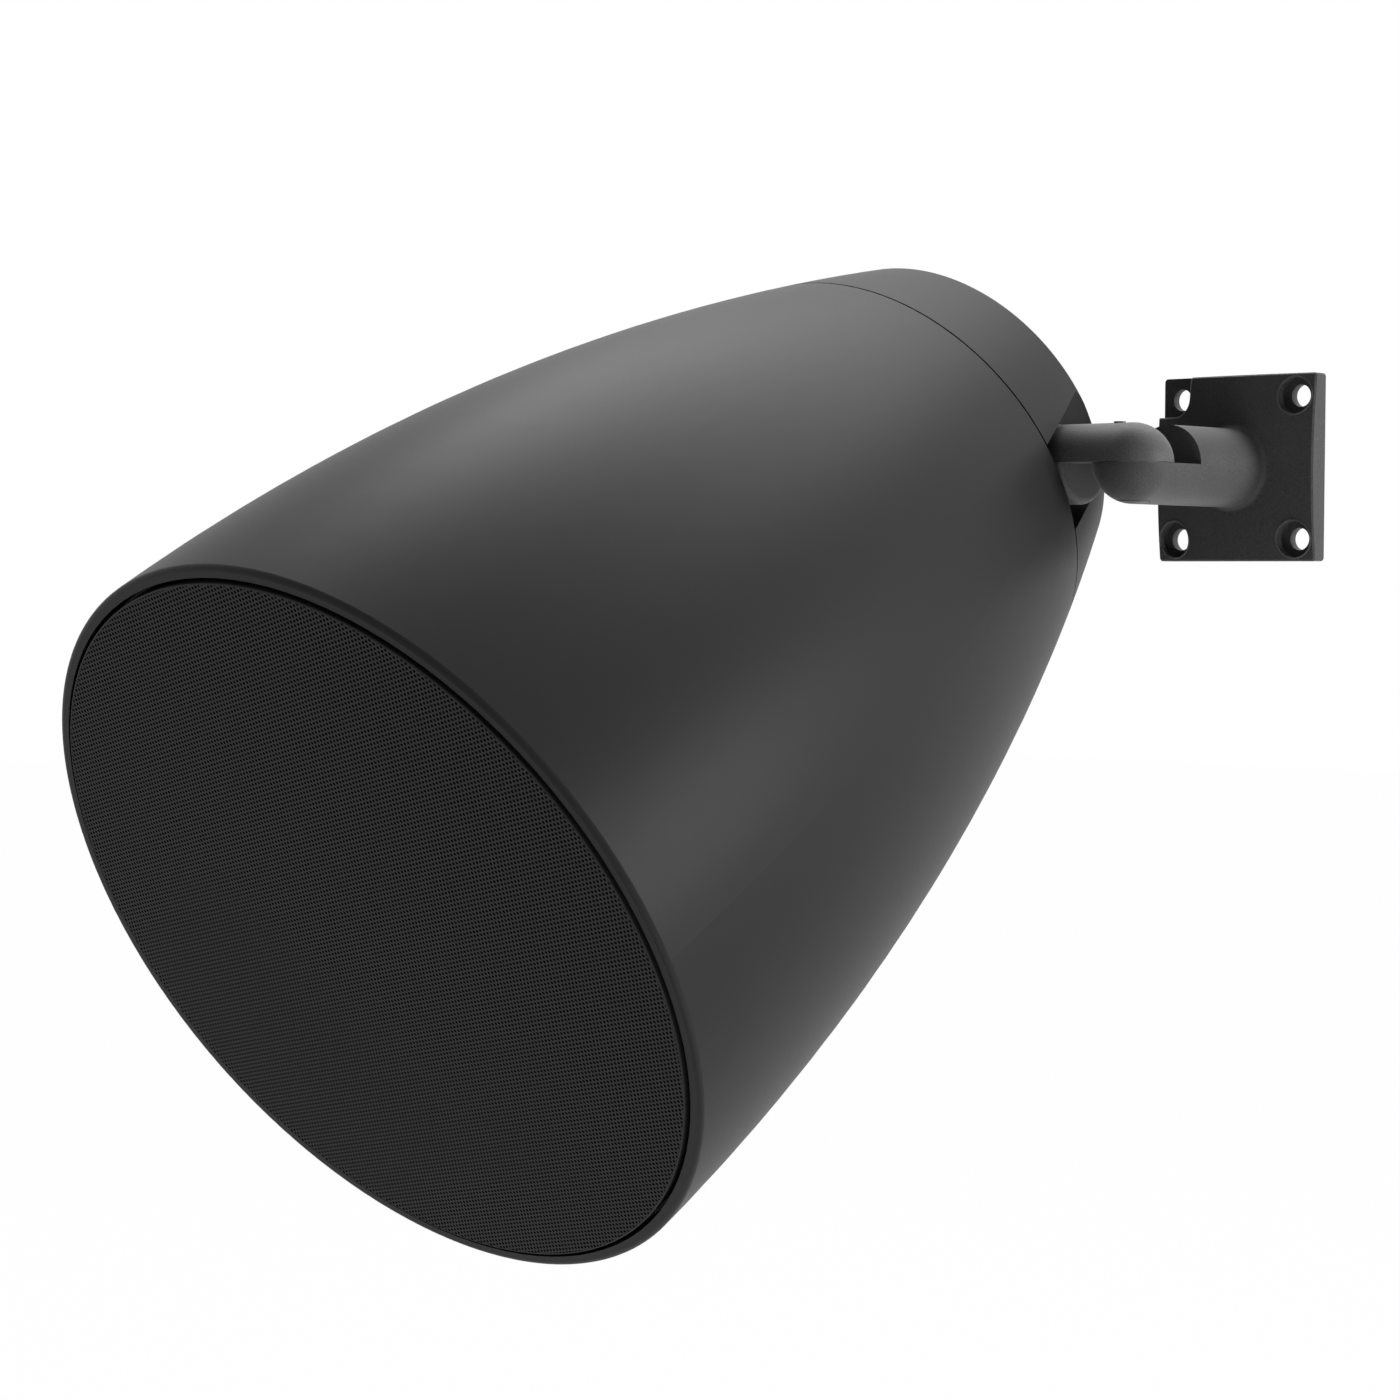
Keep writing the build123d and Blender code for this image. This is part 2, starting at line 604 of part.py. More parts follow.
def make_woofer_cone():
    """Curved paper cone with a flat edge for the surround and a neck for the former."""
    edge_inner = CONE_RADIUS - CONE_EDGE_WIDTH
    neck = COIL_RADIUS + 0.5
    neck_top = -SPIDER_SEAT + 5
    return turned(
        Bezier((neck, neck_top), (40, neck_top + 12), (edge_inner, -FLANGE_FACE)),
        Polyline(
            (edge_inner, -FLANGE_FACE),
            (CONE_RADIUS, -FLANGE_FACE),
            (CONE_RADIUS, -FLANGE_FACE - 1),
            (edge_inner, -FLANGE_FACE - 1.2),
        ),
        Bezier((edge_inner, -FLANGE_FACE - 1.2), (40, neck_top + 10.8), (neck + 1, neck_top - 0.8)),
        Polyline(
            (neck + 1, neck_top - 0.8), (neck + 1, neck_top - 3), (neck, neck_top - 3), (neck, neck_top)
        ),
    )


def make_surround():
    """Half-roll rubber ring between the cone's edge and the frame."""
    roll = SURROUND_ROLL_RADIUS
    skin = SURROUND_THICKNESS
    base = -FLANGE_FACE
    middle = CONE_RADIUS + roll - 0.2
    inner_lip = CONE_RADIUS - CONE_EDGE_WIDTH + 0.5
    outer_lip = middle + roll + 2
    return turned(
        Polyline(
            (middle - roll, base + skin), (inner_lip, base + skin), (inner_lip, base),
            (middle - roll + skin, base),
        ),
        ThreePointArc(
            (middle - roll + skin, base),
            (middle, base + roll - skin),
            (middle + roll - skin, base),
        ),
        Polyline(
            (middle + roll - skin, base), (outer_lip, base), (outer_lip, base + skin),
            (middle + roll, base + skin),
        ),
        ThreePointArc(
            (middle + roll, base + skin), (middle, base + roll + skin), (middle - roll, base + skin)
        ),
    )


def make_spider():
    """Corrugated cloth disc that keeps the voice coil centred."""
    inner = COIL_RADIUS + 0.5
    outer = SPIDER_SEAT_RADIUS - 1
    flat = 8
    wave = (outer - flat - inner) / (2 * SPIDER_WAVES)
    top = [(inner, -SPIDER_SEAT + 0.7)]
    for i in range(1, 2 * SPIDER_WAVES):
        top.append((inner + wave * i, -SPIDER_SEAT + 0.7 + (1.6 if i % 2 else -0.6)))
    top += [(outer - flat, -SPIDER_SEAT + 0.7), (outer, -SPIDER_SEAT + 0.7)]
    bottom = [(radius, height - 0.7) for radius, height in reversed(top)]
    return turned(Polyline(*top, *bottom, close=True))


def make_tweeter_housing():
    """Small flared cup on a post that stands in the woofer's pole."""
    cup_floor = -SPIDER_SEAT + 9
    cup_top = cup_floor + TWEETER_DEPTH
    wall = 1.5
    return turned(
        Polyline(
            (0, -YOKE_BACK),
            (POST_RADIUS, -YOKE_BACK),
            (POST_RADIUS, cup_floor),
            (TWEETER_RADIUS, cup_floor),
            (TWEETER_RADIUS, cup_top - 3),
            (TWEETER_RADIUS * 1.5, cup_top),
            (TWEETER_RADIUS * 1.5, cup_top + wall),
            (TWEETER_RADIUS - wall, cup_top - 3 + wall),
            (TWEETER_RADIUS - wall, cup_floor + wall),
            (0, cup_floor + wall),
            close=True,
        )
    )


def tweeter_levels():
    """Heights of the tweeter's motor: its foot and its top."""
    foot = -SPIDER_SEAT + 9 + 1.5
    return foot, foot + TWEETER_DEPTH * 0.5


def make_tweeter_dome():
    """Thin dome on a flat ring, on top of the tweeter's motor."""
    foot = tweeter_levels()[1]
    outer = TWEETER_RADIUS - 1.5 - RUNNING_GAP
    edge = outer * 0.8
    skin = 0.6
    radius = edge * 1.2
    centre = foot - sqrt(radius**2 - edge**2)
    dome = Pos(0, 0, centre) * (Sphere(radius + skin) - Sphere(radius))
    dome -= Pos(0, 0, foot) * Box(
        4 * radius, 4 * radius, 4 * radius, align=(Align.CENTER, Align.CENTER, Align.MAX)
    )
    return dome + ring(edge, outer, foot, foot + skin)


def make_board():
    """Circuit board on the web's four standoffs."""
    board = Pos(0, 0, -BOARD_BACK) * extrude(
        RectangleRounded(BOARD_LENGTH, BOARD_WIDTH, 3), BOARD_THICKNESS
    )
    hole = rod(SMALL_SCREW_RADIUS + RUNNING_GAP, -BOARD_BACK - 1, 0)
    return board - [place * hole for place in board_corners()]


def make_transformer():
    """Laminated core with a bobbin through its window, flat on the board."""
    length, width, height = 46, 20, 36
    core = Box(length, width, height, align=(Align.CENTER, Align.CENTER, Align.MIN))
    bobbin = Box(
        length * 0.62, width * 1.8, height * 0.62, align=(Align.CENTER, Align.CENTER, Align.MIN)
    )
    bobbin = fillet(bobbin.edges().filter_by(Axis.Z), 3)
    return Pos(-24, 0, -BOARD_FACE) * (core + Pos(0, 0, height * 0.19) * bobbin)


def make_terminal_block():
    """Four-way screw terminal behind the board, reached through the web's opening."""
    block = Box(34, 12, 10, align=(Align.CENTER, Align.CENTER, Align.MAX))
    block = chamfer(block.edges().filter_by(Axis.X).group_by(Axis.Z)[0].sort_by(Axis.Y)[0], 3)
    wells = [Pos(x, 1.5, -10) * Cylinder(2.6, 6) for x in (-12.5, -4.2, 4.2, 12.5)]
    ways = [Pos(x, -6, -7) * Box(4, 6, 3) for x in (-12.5, -4.2, 4.2, 12.5)]
    return Pos(0, 0, -BOARD_BACK) * (block - wells - ways)


def make_grommet():
    """Rubber cable entry with a thin closed membrane, pressed into the cap's rear."""
    flange = GROMMET_HOLE_RADIUS + GROMMET_FLANGE - RUNNING_GAP
    neck = GROMMET_HOLE_RADIUS - RUNNING_GAP
    inner_face = -HEAD_LENGTH + CAP_WALL
    membrane = -HEAD_LENGTH + GROMMET_FLANGE_DEPTH
    grommet = turned(
        Polyline(
            (0, membrane), (neck - 2, membrane), (neck - 2, -HEAD_LENGTH),
            (flange, -HEAD_LENGTH), (flange, membrane),
            (neck, membrane), (neck, inner_face), (flange - 0.6, inner_face),
            (flange - 1, inner_face + 1.6), (neck - 2, inner_face + 1.6),
            (neck - 2, membrane + 1), (0, membrane + 1),
            close=True,
        )
    )
    return Pos(0, -GROMMET_OFFSET, 0) * grommet


def make_leads():
    """Pair of wires from the board up to the driver's terminals."""
    leads = []
    for side in (-1, 1):
        x = 22 + 4 * side
        route = FilletPolyline(
            (x, 34, -BOARD_FACE),
            (x, 34, -BOARD_FACE + 40),
            (x, 44, -BOARD_FACE + 80),
            (x, 50, -YOKE_BACK - 25),
            (x, 56, -SPIDER_SEAT - FRAME_SHEET - 6),
            radius=12,
        )
        start = Plane(origin=route @ 0, z_dir=route % 0)
        leads.append(sweep(start * Circle(1.3), path=route))
    return leads


os.makedirs("parts", exist_ok=True)

# Fixed to the wall
save("wall_bracket", WALL.location * make_wall_bracket())
save(
    "pan_friction_washer",
    WALL.location * pan_ring(PAN_FRICTION_RADIUS, -PAN_FRICTION_RECESS, LAP_GAP),
)

# Turns about the pan axis
save("swivel_arm", WALL.location * make_swivel_arm())
save("pan_bolt", WALL.location * make_pan_bolt())
save(
    "pan_bolt_washer",
    WALL.location
    * pan_ring(PAN_BOLT_HEAD_RADIUS, -PAN_SEAT_DEPTH - PAN_WASHER_THICKNESS, -PAN_SEAT_DEPTH),
)
save("arm_lock_screw", WALL.location * make_lock_screw())
save("tilt_friction_washer", WALL.location * shaft_ring(0, TILT_WASHER_RADIUS))
save("tilt_spring_washer", WALL.location * shaft_ring(1, TILT_WASHER_RADIUS * 0.85))
save("tilt_nut", WALL.location * make_tilt_nut())

# Tilts: the housing
save_in_head("cabinet_shell", make_cabinet_shell())
save_in_head("rear_cap", make_rear_cap())
save_in_head(
    "cap_gasket",
    ring(
        CAP_GASKET_RADIUS - CAP_GASKET_WIDTH / 2,
        CAP_GASKET_RADIUS + CAP_GASKET_WIDTH / 2,
        -SHELL_BACK - CAP_GASKET_THICKNESS,
        -SHELL_BACK,
    ),
)
cap_screw = pan_head_screw(
    CAP_SCREW_RADIUS,
    CAP_SCREW_HEAD_RADIUS,
    CAP_SCREW_HEAD_HEIGHT,
    HEAD_LENGTH - CAP_COUNTERBORE_DEPTH - WEB_FRONT + CAP_BOSS_HEIGHT - 2,
)
cap_screw = Pos(0, 0, -HEAD_LENGTH + CAP_COUNTERBORE_DEPTH) * Rot(180, 0, 0) * cap_screw
save_in_head("cap_screws", Compound(around(CAP_SCREW_CIRCLE, 4, cap_screw, 45)))
save_in_head("cable_grommet", make_grommet())
save_in_head("front_baffle", make_front_baffle())
save_in_head(
    "baffle_gasket",
    ring(
        RIM_INNER - LEDGE_WIDTH + 1,
        BAFFLE_SCREW_CIRCLE - SMALL_SCREW_RADIUS - 0.5,
        -LEDGE_DEPTH,
        -BAFFLE_BACK,
    ),
)
small_screw = pan_head_screw(
    SMALL_SCREW_RADIUS, SMALL_HEAD_RADIUS, SMALL_HEAD_HEIGHT, SMALL_SCREW_LENGTH
)
baffle_screw = Pos(0, 0, -BAFFLE_DEPTH) * small_screw
save_in_head("baffle_screws", Compound(around(BAFFLE_SCREW_CIRCLE, 8, baffle_screw, 22.5)))
save_in_head("grille", make_grille())
cloth_top = GRILLE_PROUD - GRILLE_SHEET
save_in_head(
    "grille_cloth",
    rod(GRILLE_RADIUS - GRILLE_BEND_RADIUS - 0.5, cloth_top - CLOTH_THICKNESS, cloth_top),
)
lining_outer = body_curve(LINING_FRONT, LINING_BACK, SHELL_WALL + SEAT_GAP)
lining_inner = body_curve(LINING_FRONT, LINING_BACK, SHELL_WALL + LINING_THICKNESS)
save_in_head(
    "damping_lining",
    turned(
        lining_outer,
        Line(lining_outer @ 1, lining_inner @ 1),
        lining_inner,
        Line(lining_inner @ 0, lining_outer @ 0),
    ),
)

# Tilts: the driver
save_in_head(
    "woofer_gasket",
    ring(CUTOUT_RADIUS + 0.5, DRIVER_SCREW_CIRCLE - 2.2, -BAFFLE_DEPTH, -FLANGE_DEPTH),
)
driver_screw = Pos(0, 0, -FLANGE_FACE) * pan_head_screw(
    SMALL_SCREW_RADIUS, SMALL_HEAD_RADIUS, SMALL_HEAD_HEIGHT, SMALL_SCREW_LENGTH - 3
)
save_in_head("woofer_screws", Compound(around(DRIVER_SCREW_CIRCLE, 8, driver_screw)))
save_in_head("woofer_basket", make_woofer_basket())
plate_front = -MAGNET_TOP + TOP_PLATE_THICKNESS
save_in_head("woofer_top_plate", ring(COIL_RADIUS + 2, TOP_PLATE_RADIUS, -MAGNET_TOP, plate_front))
save_in_head("woofer_magnet", ring(COIL_RADIUS + 8, MAGNET_RADIUS, -MAGNET_BACK, -MAGNET_TOP))
save_in_head("woofer_yoke", make_woofer_yoke())
save_in_head("tweeter_housing", make_tweeter_housing())
motor_foot, motor_top = tweeter_levels()
save_in_head("tweeter_motor", rod(TWEETER_RADIUS - 1.5 - RUNNING_GAP, motor_foot, motor_top))
save_in_head("tweeter_dome", make_tweeter_dome())

# Slides: the cone and its coil, with the two soft pieces that centre them
save_in_head("voice_coil", make_voice_coil())
save_in_head("woofer_cone", make_woofer_cone())
save_in_head("woofer_surround", make_surround())
save_in_head("woofer_spider", make_spider())

# Tilts: the electrical parts
save_in_head("crossover_board", make_board())
board_screw = Pos(0, 0, -BOARD_FACE) * pan_head_screw(
    SMALL_SCREW_RADIUS, SMALL_HEAD_RADIUS, SMALL_HEAD_HEIGHT, STANDOFF_HEIGHT + BOARD_THICKNESS
)
save_in_head("board_screws", Compound([place * board_screw for place in board_corners()]))
save_in_head("line_transformer", make_transformer())
save_in_head("crossover_coil", Pos(26, 16, 0) * ring(6, 14, -BOARD_FACE, -BOARD_FACE + 12))
save_in_head("crossover_capacitor", x_rod(8, 12, 42, y=-16, z=-BOARD_FACE + 8 + SLIDE_GAP))
resistor = Pos(26, -30, -BOARD_FACE) * Box(22, 6, 6, align=(Align.CENTER, Align.CENTER, Align.MIN))
save_in_head("crossover_resistor", resistor)
save_in_head("terminal_block", make_terminal_block())
save_in_head("driver_leads", Compound(make_leads()))
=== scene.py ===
# %% [markdown]
# # A wall speaker, dressed in cells
# The solids come from the CAD model and stay where they are. This lesson gives each one a finish,
# adds the perforated grille, the cloth behind it and some thin trim, and sets up the camera and
# the light. Loading the model first means that nothing has to be fitted later: every new piece is
# placed in the same metres, on the same axes.

# %% Load the solids
import json
from math import cos, pi, radians, sin

import bmesh
import bpy
from mathutils import Matrix, Vector


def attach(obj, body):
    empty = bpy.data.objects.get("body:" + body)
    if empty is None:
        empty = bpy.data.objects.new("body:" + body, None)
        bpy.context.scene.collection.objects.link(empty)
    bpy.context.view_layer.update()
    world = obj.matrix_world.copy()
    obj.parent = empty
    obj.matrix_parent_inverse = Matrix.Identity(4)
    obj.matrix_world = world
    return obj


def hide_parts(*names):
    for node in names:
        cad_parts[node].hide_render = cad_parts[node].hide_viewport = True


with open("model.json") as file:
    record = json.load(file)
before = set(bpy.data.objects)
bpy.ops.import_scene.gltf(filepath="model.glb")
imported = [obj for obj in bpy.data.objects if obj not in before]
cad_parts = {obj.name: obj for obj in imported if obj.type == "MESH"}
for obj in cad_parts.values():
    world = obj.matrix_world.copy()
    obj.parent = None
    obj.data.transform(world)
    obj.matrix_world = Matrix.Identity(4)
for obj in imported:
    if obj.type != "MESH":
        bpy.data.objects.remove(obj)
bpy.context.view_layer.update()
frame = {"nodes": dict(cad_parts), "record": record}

# %% [markdown]
# ## The camera
# A photograph of a turned body fixes the camera closely: the outline of the bullet, the ellipse of
# the grille and the corners of the wall plate all have to fall in place together. The camera could
# be aimed with a Track To constraint, but three measured angles and a place are easier to check.
# It looks about 43 degrees round from the wall's normal, just below level.

# %% Camera at the photograph's angle
TURN, DIP, ROLL = radians(43.07), radians(1.89), radians(0.35)
CAMERA_PLACE = Vector((0.6161, -0.9138, -0.0390))
FOCAL_PIXELS, FRAME_PIXELS = 3400, 1400
SENSOR_WIDTH = 36
UP = Vector((0, 0, 1))


def put_in_scene(name, data):
    """Makes an object of its data and links it to the scene."""
    made = bpy.data.objects.new(name, data)
    bpy.context.scene.collection.objects.link(made)
    return made


def placed_on(origin, x_axis, y_axis, z_axis):
    """The matrix that carries something to an origin and three directions."""
    return Matrix.Translation(origin) @ Matrix((x_axis, y_axis, z_axis)).transposed().to_4x4()


across = Vector((cos(TURN), sin(TURN), 0))
level = Vector((-sin(TURN), cos(TURN), 0))
ahead = cos(DIP) * level - sin(DIP) * UP
upright = cos(DIP) * UP + sin(DIP) * level
right = cos(ROLL) * across + sin(ROLL) * upright
top = cos(ROLL) * upright - sin(ROLL) * across

lens = bpy.data.cameras.new("camera")
lens.sensor_width = SENSOR_WIDTH
lens.lens = SENSOR_WIDTH * FOCAL_PIXELS / FRAME_PIXELS
lens.clip_start, lens.clip_end = 0.01, 50
camera = put_in_scene("camera", lens)
camera.matrix_world = placed_on(CAMERA_PLACE, right, top, -ahead)
bpy.context.scene.camera = camera
print("lens in mm:", round(lens.lens, 1))

# %% [markdown]
# ## The head's own directions
# The head leans forward by 30 degrees, so its front isn't square to the axes of the scene. New
# pieces on the front are modelled flat, with z along the bullet's axis, and one matrix carries them
# to their place. They could be modelled in place instead, but every height would then be a sum of
# two coordinates. The finishes use the same directions, so that a weave runs straight across the
# cloth.

# %% The head's place: its tilt joint and its front rim
LEAN = radians(30)
RIM_REACH = 0.2683

axis_out = Vector((0, -cos(LEAN), -sin(LEAN)))
head_top = Vector((0, -sin(LEAN), cos(LEAN)))
pivot = Vector((-0.090, -0.061, 0))
rim_centre = pivot + RIM_REACH * axis_out
head_place = placed_on(rim_centre, (1, 0, 0), head_top, axis_out)
print("middle of the front rim:", [round(value, 4) for value in rim_centre])

# %% [markdown]
# ## Sums on sockets
# A shader is arithmetic, but a sum of nodes is hard to read. This small class wraps an output
# socket, so that `1 - mask` or `0.4 + 0.1 * grain` adds the Math nodes by itself. One method adds
# any other node.

# %% A wire that can be added, multiplied and mixed
class Wire:
    """One output in a tree of shader nodes."""

    def __init__(self, tree, socket=None):
        self.tree = tree
        self.socket = socket

    def node(self, kind, sockets, out=0, **settings):
        """Adds a node: its settings first, then the values or links of its sockets."""
        made = self.tree.nodes.new(kind)
        for setting, value in settings.items():
            setattr(made, setting, value)
        for name, value in sockets.items():
            if isinstance(value, Wire):
                self.tree.links.new(value.socket, made.inputs[name])
            else:
                made.inputs[name].default_value = value
        return Wire(self.tree, made.outputs[out])

    def sum(self, operation, first, second=0.0):
        """One Math node."""
        return self.node("ShaderNodeMath", {0: first, 1: second}, operation=operation)

    def __add__(self, other):
        return self.sum("ADD", self, other)

    __radd__ = __add__

    def __mul__(self, other):
        return self.sum("MULTIPLY", self, other)

    __rmul__ = __mul__

    def __sub__(self, other):
        return self.sum("SUBTRACT", self, other)

    def __rsub__(self, other):
        return self.sum("SUBTRACT", other, self)

    def along(self, direction):
        """How far the point lies in a direction, in metres."""
        return self.node(
            "ShaderNodeVectorMath", {0: self, 1: tuple(direction)}, "Value", operation="DOT_PRODUCT"
        )

    def wave(self):
        """A sine between 0 and 1."""
        return 0.5 + 0.5 * self.sum("SINE", self)

    def between(self, low, high):
        """A colour from low to high, chosen by this value."""
        # Of a Mix node's many sockets, 6 and 7 take the two colours and output 2 gives the result.
        return self.node(
            "ShaderNodeMix", {0: self, 6: (*low, 1), 7: (*high, 1)}, 2, data_type="RGBA"
        )


print("wire ready")

# %% [markdown]
# ## Patterns of the surfaces
# Every surface here is a repeat of a few things: a fine grain, woven threads, wound turns, or cells
# of foam. Each pattern is a function from a point to a value between 0 and 1, with its real size
# in millimetres. A photograph of the surface could be wrapped on instead, but these patterns read
# Object coordinates, so they keep their scale on every piece.

# %% Grain, weave, turns and cells
MM_PER_METRE = 1000
DRAWN_OUT = 0.93  # the share of the way along a streak that is taken off the point
FUZZ = 0.25  # how much grain is added to the threads


def grain(size, detail=2.0):
    """Fine random grain."""
    return lambda point: point.node(
        "ShaderNodeTexNoise", {"Vector": point, "Scale": MM_PER_METRE / size, "Detail": detail}
    )


def cells(size):
    """Rounded cells, as in foam or a coarse casting."""
    return lambda point: point.node(
        "ShaderNodeTexVoronoi", {"Vector": point, "Scale": MM_PER_METRE / size}, "Distance"
    )


def turns(pitch, direction):
    """Parallel turns or layers, counted along a direction."""
    return lambda point: (2 * pi * MM_PER_METRE / pitch * point.along(direction)).wave()


def weave(pitch, one, other):
    """Threads that cross each other, with a little fuzz on them."""
    return lambda point: (
        turns(pitch, one)(point) * turns(pitch, other)(point) + FUZZ * grain(pitch)(point)
    )


def brushed(direction, size=0.25):
    """Streaks: a grain that is drawn out along one direction."""
    def pattern(point):
        drawn = DRAWN_OUT * point.along(direction)
        shift = point.node(
            "ShaderNodeVectorMath", {0: tuple(direction), "Scale": drawn}, operation="SCALE"
        )
        flat = point.node("ShaderNodeVectorMath", {0: point, 1: shift}, operation="SUBTRACT")
        return grain(size)(flat)
    return pattern


def mottled(fine, coarse, share=0.35):
    """A fine pattern with a share of broad, faint unevenness in it."""
    return lambda point: (1 - share) * fine(point) + share * grain(coarse)(point)


print("patterns ready")

# %% [markdown]
# ## From pattern to finish
# Paint, cloth and metal differ in how the pattern changes three things: the colour, the roughness
# and the relief. Each could have nodes of its own, but one function makes them all, and what is
# the same all over the piece is set on the shader's own sockets.

# %% One function for every finish
finishes = {}


def make_finish(slot, deep, pale, pattern, rough, relief, **fixed):
    """A material whose colour, roughness and relief follow one pattern; relief is in mm."""
    material = bpy.data.materials.new(slot)
    material.use_nodes = True
    tree = material.node_tree
    shader = tree.nodes["Principled BSDF"]
    for socket, value in fixed.items():
        shader.inputs[socket.replace("_", " ")].default_value = value
    height = pattern(Wire(tree).node("ShaderNodeTexCoord", {}, "Object"))
    depth = relief / MM_PER_METRE
    normal = height.node("ShaderNodeBump", {"Height": height, "Distance": depth, "Strength": 1.0})
    smooth, coarse = rough
    for name, value in (
        ("Base Color", height.between(deep, pale)),
        ("Roughness", smooth + (coarse - smooth) * height),
        ("Normal", normal),
    ):
        tree.links.new(value.socket, shader.inputs[name])
    finishes[slot] = material


print("finish function ready")

# %% [markdown]
# ## Paint and powder coat
# The bullet is painted: a satin anthracite that is almost smooth, with a trace of orange peel. The
# bracket is powder coated, which leaves a visible grain of half a millimetre that scatters the
# light. A plain rough paint would look as dark there, but its edges wouldn't glow as the grain
# does, so a little sheen is added. The grille's paint is thinner and more matt.

# %% Paints of the housing, the bracket and the grille
powder_grain = mottled(grain(0.55, 3.0), 12.0, 0.15)

make_finish(
    "body_coat", (0.017, 0.017, 0.018), (0.021, 0.021, 0.022),
    mottled(grain(1.2), 60.0), (0.42, 0.50), 0.004, Specular_IOR_Level=0.14,
)
make_finish(
    "bracket_coat", (0.030, 0.030, 0.031), (0.134, 0.134, 0.136),
    powder_grain, (0.42, 0.60), 0.08, Specular_IOR_Level=0.12,
    Sheen_Weight=0.28, Sheen_Roughness=0.4,
)
make_finish(
    "arm_coat", (0.043, 0.043, 0.044), (0.178, 0.178, 0.180),
    powder_grain, (0.42, 0.60), 0.08, Specular_IOR_Level=0.2,
    Sheen_Weight=0.32, Sheen_Roughness=0.4,
)
make_finish(
    "grille_coat", (0.0085, 0.0085, 0.0085), (0.014, 0.014, 0.014),
    grain(0.8), (0.45, 0.55), 0.004, Specular_IOR_Level=0.17,
)
print("paints:", list(finishes))

# %% [markdown]
# ## Metals
# Screws, washers and the magnet's steel are plated or blackened. Turned steel shows faint streaks
# round or along the piece, so its grain is drawn out in one direction. Ferrite is a grey ceramic
# with a dusty, speckled face. Anisotropy could stretch the highlights in the same way, but then
# the streaks themselves wouldn't show from near by.

# %% Plated, blackened and laminated steel, copper and ferrite
make_finish(
    "zinc_steel", (0.50, 0.50, 0.48), (0.68, 0.68, 0.66),
    brushed((1, 0, 0)), (0.26, 0.42), 0.006, Metallic=1.0,
)
make_finish(
    "black_steel", (0.018, 0.018, 0.019), (0.045, 0.045, 0.047),
    grain(0.4), (0.32, 0.48), 0.006, Metallic=0.6,
)
make_finish(
    "core_steel", (0.09, 0.09, 0.095), (0.34, 0.34, 0.33),
    turns(0.5, head_top), (0.35, 0.6), 0.06, Metallic=0.9,
)
make_finish(
    "copper", (0.40, 0.12, 0.045), (0.80, 0.34, 0.16),
    turns(0.6, axis_out), (0.22, 0.42), 0.12, Metallic=0.85, Coat_Weight=0.6,
)
make_finish(
    "ferrite", (0.045, 0.045, 0.047), (0.11, 0.11, 0.112),
    mottled(cells(0.7), 5.0), (0.55, 0.8), 0.03,
)
print("metals done:", len(finishes))

# %% [markdown]
# ## Plastics and rubbers
# Moulded plastic takes the fine spark texture of its mould, and rubber is softer and duller. The
# dome and the capacitor's wrap are glossy films. Plain colours would be quicker, but they look
# unreal from near by, so each finish has the small unevenness that the moulding or the winding
# leaves.

# %% Moulded, rubber and film finishes
make_finish(
    "nylon", (0.62, 0.60, 0.54), (0.78, 0.76, 0.70),
    grain(0.9), (0.4, 0.55), 0.01, Subsurface_Weight=0.15,
)
make_finish(
    "rubber", (0.012, 0.012, 0.012), (0.028, 0.028, 0.029),
    grain(0.5), (0.6, 0.8), 0.02,
)
make_finish(
    "baffle_plastic", (0.018, 0.018, 0.018), (0.032, 0.032, 0.033),
    cells(0.45), (0.5, 0.66), 0.02,
)
make_finish(
    "frame_coat", (0.020, 0.020, 0.021), (0.034, 0.034, 0.035),
    grain(0.6), (0.4, 0.55), 0.02,
)
make_finish(
    "dome_film", (0.14, 0.14, 0.15), (0.24, 0.24, 0.25),
    grain(2.0), (0.12, 0.2), 0.004,
)
make_finish(
    "capacitor_film", (0.09, 0.13, 0.27), (0.16, 0.22, 0.40),
    brushed((1, 0, 0), 0.6), (0.15, 0.3), 0.01,
)
make_finish(
    "resistor_cement", (0.60, 0.59, 0.54), (0.82, 0.81, 0.77),
    mottled(cells(0.6), 3.0), (0.7, 0.9), 0.04,
)
make_finish(
    "terminal_plastic", (0.05, 0.20, 0.09), (0.08, 0.27, 0.13),
    cells(0.5), (0.4, 0.55), 0.015,
)
make_finish(
    "lead_sleeve", (0.20, 0.012, 0.012), (0.32, 0.02, 0.02),
    grain(1.0), (0.35, 0.5), 0.01,
)
print("moulded finishes:", len(finishes))

# %% [markdown]
# ## Cloth, paper, foam and laminate
# Cloth has threads that cross, so its pattern is the product of two waves. Its threads could be
# modelled as thin tubes, but there would be thousands, too small to be seen one by one. Wadding
# and paper are felted: their fibres are a grain with more detail. The circuit board shows the
# glass weave through its green lacquer.

# %% Woven, felted and laminated finishes
make_finish(
    "cloth", (0.0015, 0.0015, 0.0015), (0.005, 0.005, 0.005),
    weave(0.5, (1, 0, 0), head_top), (0.85, 1.0), 0.05, Specular_IOR_Level=0.05,
)
make_finish(
    "spider_cloth", (0.30, 0.19, 0.07), (0.62, 0.46, 0.22),
    weave(0.9, (1, 0, 0), head_top), (0.7, 0.9), 0.12,
)
make_finish(
    "cone_paper", (0.016, 0.016, 0.017), (0.05, 0.05, 0.051),
    grain(1.6, 6.0), (0.65, 0.85), 0.06,
)
make_finish(
    "wadding", (0.50, 0.49, 0.46), (0.80, 0.79, 0.76),
    grain(3.0, 6.0), (0.9, 1.0), 0.6,
)
make_finish(
    "foam", (0.02, 0.02, 0.02), (0.05, 0.05, 0.05),
    cells(0.8), (0.8, 0.95), 0.08,
)
make_finish(
    "board_laminate", (0.02, 0.12, 0.04), (0.04, 0.22, 0.08),
    weave(0.7, (1, 0, 0), head_top), (0.25, 0.4), 0.01,
)
print("finishes:", len(finishes))

# %% [markdown]
# ## Dressing the solids
# The record says which material slot each solid has. Each solid could be dressed by hand, but one
# loop over the record can't forget any. The solids' meshes aren't touched: only the material in
# their slots is changed for the finish of the same name.

